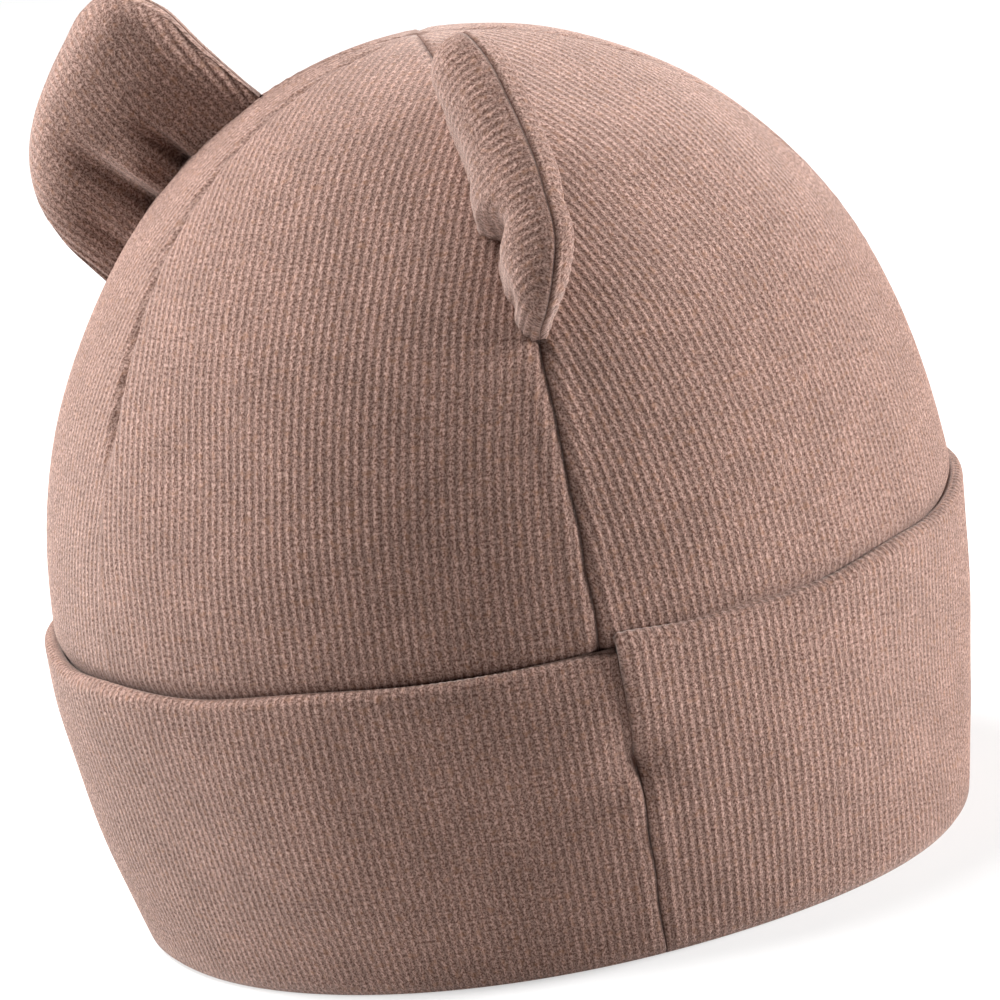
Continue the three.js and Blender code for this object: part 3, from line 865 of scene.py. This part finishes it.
class Shading:
    """A material with a shader, and short names for the nodes that feed it."""

    def __init__(self, name, surface):
        self.material = bpy.data.materials.new(name)
        self.material.use_nodes = True
        self.tree = self.material.node_tree
        self.tree.nodes.clear()
        self.shader = self.node("ShaderNodeBsdfPrincipled", **surface)
        self.node("ShaderNodeOutputMaterial", Surface=self.shader.outputs[0])

    def feed(self, socket, value):
        """Gives a socket a value of its own or links it to another node's output."""
        if isinstance(value, bpy.types.NodeSocket):
            self.tree.links.new(value, socket)
        else:
            socket.default_value = value

    def node(self, kind, **inputs):
        node = self.tree.nodes.new(kind)
        for name, value in inputs.items():
            self.feed(node.inputs[name], value)
        return node

    def attribute(self, name, output):
        node = self.node("ShaderNodeAttribute")
        node.attribute_name = name
        return node.outputs[output]

    def maths(self, operation, *values):
        node = self.node("ShaderNodeMath")
        node.operation = operation
        for socket, value in zip(node.inputs, values):
            self.feed(socket, value)
        return node.outputs[0]

    def stretch(self, vector, scale):
        node = self.node("ShaderNodeVectorMath")
        node.operation = "MULTIPLY"
        self.feed(node.inputs[0], vector)
        self.feed(node.inputs[1], scale)
        return node.outputs[0]

    def noise(self, vector, scale, detail, roughness):
        inputs = {"Vector": vector, "Scale": scale, "Detail": detail, "Roughness": roughness}
        return self.node("ShaderNodeTexNoise", **inputs).outputs["Fac"]

    def map_range(self, value, low, high, to_low=0.0, to_high=1.0):
        limits = {"From Min": low, "From Max": high, "To Min": to_low, "To Max": to_high}
        node = self.node("ShaderNodeMapRange", Value=value, **limits)
        node.interpolation_type = "SMOOTHSTEP"
        return node.outputs[0]

    def blend(self, factor, first, second, kind="MIX"):
        node = self.node("ShaderNodeMix")
        node.data_type = "RGBA"
        node.blend_type = kind
        for name, value in (("Factor", factor), ("A", first), ("B", second)):
            socket = [s for s in node.inputs if s.name == name and s.enabled][-1]
            self.feed(socket, (*value, 1) if isinstance(value, tuple) else value)
        return [s for s in node.outputs if s.enabled][-1]

    def shade(self, tone, amount):
        """A colour times a grey value."""
        grey = self.node("ShaderNodeCombineColor", Red=amount, Green=amount, Blue=amount)
        return self.blend(1.0, tone, grey.outputs[0], "MULTIPLY")

    def bump(self, height, strength, distance, **inputs):
        node = self.node("ShaderNodeBump", Height=height, Strength=strength, Distance=distance, **inputs)
        return node.outputs[0]


def stitch_pattern(g, weave, flecks):
    """Each rib is a column of V shapes, one for each course."""
    split = g.node("ShaderNodeSeparateXYZ", Vector=weave)
    column = g.maths("DIVIDE", split.outputs[0], RIB_PITCH)
    inside = g.maths("FRACT", g.maths("ADD", column, 0.5))
    leg = g.maths("ABSOLUTE", g.maths("SUBTRACT", inside, 0.5))
    course = g.maths("DIVIDE", split.outputs[1], COURSE)
    phase = g.maths("SUBTRACT", course, g.maths("MULTIPLY", leg, STITCH_SLANT))
    turns = g.maths("ADD", phase, g.maths("MULTIPLY", flecks, STITCH_WOBBLE))
    wave = g.maths("SINE", g.maths("MULTIPLY", turns, 2 * math.pi))
    return g.maths("MULTIPLY_ADD", wave, 0.5, 0.5)


@cache
def knit_material():
    """Heathered rib knit: ribs painted light on top and dark in their gaps, V stitches and loose fibres, and
    painted shade in the creases.
    """
    g = Shading("rib_knit_heather", KNIT_SURFACE)
    weave = g.attribute("weave", "Vector")
    rib = g.attribute("rib", "Fac")
    fibre_space = g.stretch(weave, FIBRE_STRETCH)
    fine = g.noise(fibre_space, scale=3.0, detail=4.0, roughness=0.75)
    flecks = g.noise(fibre_space, scale=1.3, detail=2.0, roughness=0.6)
    patches = g.noise(weave, scale=0.12, detail=3.0, roughness=0.55)
    warm = g.noise(weave, scale=0.7, detail=2.0, roughness=0.5)
    # random flecks that make the edges of the painted rib and crease shade ragged
    ragged = g.maths("MULTIPLY", g.maths("SUBTRACT", flecks, 0.5), 3.2)
    ragged_rib_and_shade = g.maths("ADD", rib, ragged)
    ridge = g.map_range(ragged_rib_and_shade, -0.6, 1.0)

    # Dark and light fibres with warm and pale flecks, then painted light on the ribs' tops and painted shade
    # in their gaps, painted shade in the creases of seams and folds, and soft clouds.
    tone = g.blend(g.map_range(fine, 0.41, 0.59), YARN_DARK_AND_SHADE, YARN_LIGHT)
    tone = g.blend(0.25, tone, YARN)
    tone = g.blend(g.map_range(warm, 0.52, 0.72, 0.0, 0.5), tone, YARN_WARM)
    tone = g.blend(g.map_range(flecks, 0.56, 0.72, 0.0, 0.55), tone, YARN_LIGHT)
    # painted light and shade: lighter on the ribs' tops, darker in their gaps
    tone = g.shade(tone, g.map_range(ridge, 0.0, 1.0, 0.77, 1.12))
    # painted shade: the yarn turns to the dark tone in the creases of seams, darts, dents, laps and above the
    # cuff
    tone = g.blend(g.map_range(ragged_rib_and_shade, -2.6, -1.0, 0.8, 0.0), tone, YARN_DARK_AND_SHADE)
    tone = g.shade(tone, g.map_range(patches, 0.3, 0.7, 0.92, 1.08))
    g.feed(g.shader.inputs["Base Color"], tone)
    g.feed(g.shader.inputs["Roughness"], g.map_range(fine, 0.2, 0.8, 0.84, 0.98))

    fibres = g.bump(fine, strength=0.55, distance=0.22 * MM)
    stitches = g.maths("MULTIPLY", stitch_pattern(g, weave, flecks), ridge)
    g.feed(g.shader.inputs["Normal"], g.bump(stitches, strength=0.35, distance=0.2 * MM, Normal=fibres))
    return g.material


# Stage, light and camera

FLOOR_SIZE = 6.0  # metres
WORLD_STRENGTH = 0.07
LIGHTS = (  # azimuth and elevation in degrees, distance and size in metres, and power in watts
    {"name": "key", "azimuth": 134, "elevation": 14, "distance": 1.1, "size": 0.6, "power": 27.4},
    {"name": "side", "azimuth": -50, "elevation": 19, "distance": 1.1, "size": 0.6, "power": 13.8},
    {"name": "top", "azimuth": 290, "elevation": 66, "distance": 1.0, "size": 0.8, "power": 24},
)

# The camera's place: azimuth and elevation of the view, its roll, distance and focal length in pixels of a
# frame 1000 wide, and the point that it looks at, sideways and up from the rim's centre.
CAMERA_AZIMUTH = 46.8
CAMERA_ELEVATION = 17.34
CAMERA_ROLL = -11.07
CAMERA_DISTANCE = 1036.0
CAMERA_FOCAL_PIXELS = 6247.0
CAMERA_CLIP = (0.05, 20)  # metres
AIM_SIDEWAYS = 1.8
AIM_UP = 57.96
FRAME_PIXELS = 1000
SENSOR_WIDTH = 36.0


def direction(azimuth, elevation):
    a, e = math.radians(azimuth), math.radians(elevation)
    return Vector((math.sin(a) * math.cos(e), -math.cos(a) * math.cos(e), math.sin(e)))


def make_floor():
    half = FLOOR_SIZE / 2
    mesh = bpy.data.meshes.new("floor")
    corners = [(-half, -half, 0), (half, -half, 0), (half, half, 0), (-half, half, 0)]
    mesh.from_pydata(corners, [], [(0, 1, 2, 3)])
    mesh.materials.append(Shading("pale_floor", FLOOR_SURFACE).material)
    floor = bpy.data.objects.new("floor", mesh)
    bpy.context.scene.collection.objects.link(floor)


def make_world():
    world = bpy.data.worlds.new("studio")
    bpy.context.scene.world = world
    world.use_nodes = True
    background = world.node_tree.nodes["Background"]
    background.inputs["Color"].default_value = (1, 1, 1, 1)
    background.inputs["Strength"].default_value = WORLD_STRENGTH


def make_light(row):
    light = bpy.data.lights.new(row["name"], "AREA")
    light.shape = "DISK"
    light.size = row["size"]
    light.energy = row["power"]
    lamp = bpy.data.objects.new(row["name"], light)
    back = direction(row["azimuth"], row["elevation"])
    lamp.location = Vector((0, 0, CROWN_HEIGHT / 2 * MM)) + back * row["distance"]
    lamp.rotation_mode = "QUATERNION"
    lamp.rotation_quaternion = back.to_track_quat("Z", "Y")
    bpy.context.scene.collection.objects.link(lamp)


def make_camera():
    place = direction(CAMERA_AZIMUTH, CAMERA_ELEVATION) * CAMERA_DISTANCE
    up_axis = Vector((0, 0, 1))
    forward = -place.normalized()
    right = forward.cross(up_axis).normalized()
    target = right * AIM_SIDEWAYS + right.cross(forward) * AIM_UP
    forward = (target - place).normalized()
    right = forward.cross(up_axis).normalized()
    up = right.cross(forward)
    roll = math.radians(CAMERA_ROLL)
    turned_right = right * math.cos(roll) + up * math.sin(roll)
    turned_up = up * math.cos(roll) - right * math.sin(roll)
    data = bpy.data.cameras.new("camera")
    data.sensor_width = SENSOR_WIDTH
    data.lens = CAMERA_FOCAL_PIXELS * SENSOR_WIDTH / FRAME_PIXELS
    data.clip_start, data.clip_end = CAMERA_CLIP
    camera = bpy.data.objects.new("camera", data)
    axes = Matrix((turned_right, turned_up, -forward)).transposed()
    camera.matrix_world = Matrix.Translation(place * MM) @ axes.to_4x4()
    bpy.context.scene.collection.objects.link(camera)
    bpy.context.scene.camera = camera


make_camera()
make_world()
for row in LIGHTS:
    make_light(row)
make_floor()
bpy.context.scene.view_settings.view_transform = "Standard"

cuff_piece("cuff_front", CUFF_SEAM_LEFT, CUFF_SEAM_RIGHT, is_back=False)
cuff_piece("cuff_back", CUFF_SEAM_RIGHT, CUFF_SEAM_LEFT + 360, is_back=True)
crown_piece("crown_front", CROWN_SEAM_LEFT, CROWN_SEAM_RIGHT, FRONT_DARTS)
crown_piece("crown_back", CROWN_SEAM_RIGHT, CROWN_SEAM_LEFT + 360, BACK_DARTS)
for ear in EARS:
    for face in ("front", "back"):
        ear_piece(ear, face)
